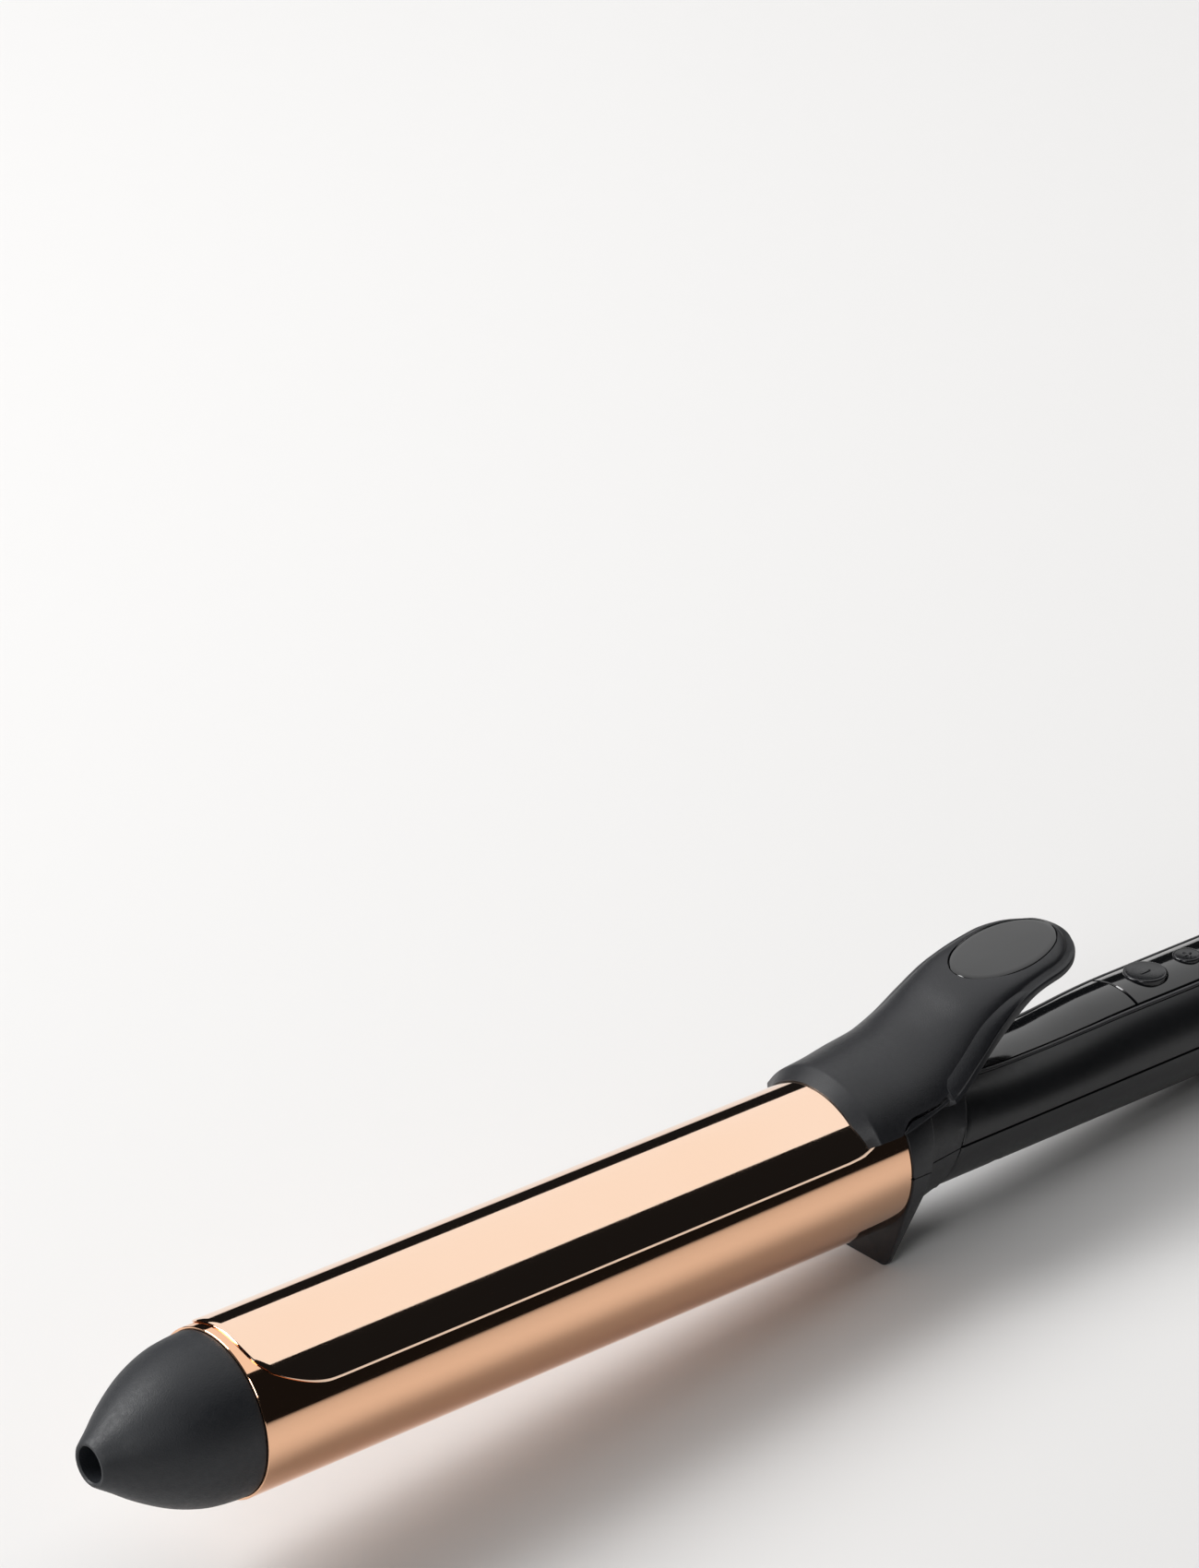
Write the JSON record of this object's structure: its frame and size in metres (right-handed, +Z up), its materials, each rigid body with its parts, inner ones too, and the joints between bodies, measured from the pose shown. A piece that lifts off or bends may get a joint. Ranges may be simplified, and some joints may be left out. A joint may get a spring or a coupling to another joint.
{
  "type": "curling iron",
  "caption": "Spring-clamp curling iron: rose-gold barrel and clamp spoon, matte cool tip, thumb lever with glossy inlay, rest foot, panelled handle, turning cord inlet.",
  "frame": {"origin": "on the table under the centre of the bounding box, with the iron resting on its foot and the tail of its handle", "axes": "+Z up, +X towards the handle tail, -X towards the cool tip; the barrel axis rises towards the tip by 4.3 degrees in the XZ plane"},
  "size_m": [0.3796, 0.04, 0.0597],
  "materials": {
    "rose_gold_plate": "polished",
    "black_matte_shell": "matte",
    "black_satin_shell": "satin",
    "black_gloss_panel": "gloss",
    "cool_tip_resin": "matte",
    "satin_trim": "satin",
    "button_resin": "satin",
    "lens_clear": "gloss",
    "screw_steel": "satin",
    "spring_steel": "satin",
    "spreader_aluminium": "satin",
    "heater_ceramic": "matte",
    "lead_silicone": "matte",
    "mica_board": "matte",
    "circuit_laminate": "satin",
    "switch_resin": "satin",
    "capacitor_film": "satin",
    "contact_brass": "satin"
  },
  "bodies": {
    "iron_body": {"barrel_tube": "rose_gold_plate", "cool_tip": "cool_tip_resin", "tip_screw": "screw_steel", "tip_bracket": "screw_steel", "heat_spreader_upper": "spreader_aluminium", "heat_spreader_lower": "spreader_aluminium", "heater_plate": "heater_ceramic", "spreader_springs": "spring_steel", "thermal_fuse": "contact_brass", "thermistor": "lens_clear", "rear_insulator": "mica_board", "heater_leads": "lead_silicone", "collar_upper": "black_satin_shell", "collar_lower": "black_satin_shell", "neck_upper": "black_satin_shell", "neck_lower": "black_satin_shell", "neck_screws": "screw_steel", "handle_shell_upper": "black_matte_shell", "handle_shell_lower": "black_matte_shell", "handle_screws": "screw_steel", "trim_frame": "satin_trim", "top_panel": "black_gloss_panel", "control_panel": "black_gloss_panel", "indicator_lenses": "lens_clear", "indicator_lamps": "switch_resin", "circuit_board": "circuit_laminate", "tact_switches": "switch_resin", "power_triac": "switch_resin", "mains_capacitor": "capacitor_film", "rear_cap": "black_matte_shell", "swivel_retainer": "switch_resin", "brush_contacts": "contact_brass", "hinge_bracket": "screw_steel", "hinge_pin": "screw_steel", "clamp_spring": "spring_steel"},
    "clamp": {"clamp_spoon": "rose_gold_plate", "spoon_rivets": "screw_steel", "lever_shell": "black_satin_shell", "lever_cover": "black_satin_shell", "lever_inlay": "black_gloss_panel", "lever_screws": "screw_steel"},
    "power_key": {"power_button": "button_resin"},
    "temp_up_key": {"temp_up_button": "button_resin"},
    "temp_down_key": {"temp_down_button": "button_resin"},
    "cord_inlet": {"cord_swivel": "black_satin_shell", "slip_rings": "contact_brass"}
  },
  "joints": [
    {"name": "clamp_hinge", "type": "hinge", "parent": "iron_body", "child": "clamp", "pos_m": [0.03445, 0, 0.04489], "axis": [0, 1, 0], "range_deg": [0, 20], "stiffness_Nm_per_rad": 0.35, "springref_deg": -28.65, "deforming": ["clamp_spring"]},
    {"name": "power_press", "type": "slide", "parent": "iron_body", "child": "power_key", "axis": [-0.0758, 0, -0.9971], "range_m": [0, 0.0005], "stiffness_N_per_m": 600, "springref_m": -0.0008},
    {"name": "temp_up_press", "type": "slide", "parent": "iron_body", "child": "temp_up_key", "axis": [-0.0758, 0, -0.9971], "range_m": [0, 0.0005], "stiffness_N_per_m": 600, "springref_m": -0.0008},
    {"name": "temp_down_press", "type": "slide", "parent": "iron_body", "child": "temp_down_key", "axis": [-0.0758, 0, -0.9971], "range_m": [0, 0.0005], "stiffness_N_per_m": 600, "springref_m": -0.0008},
    {"name": "inlet_swivel", "type": "hinge", "parent": "iron_body", "child": "cord_inlet", "pos_m": [0.16955, 0, 0.01476], "axis": [0.9971, 0, -0.0758], "continuous": true}
  ]
}
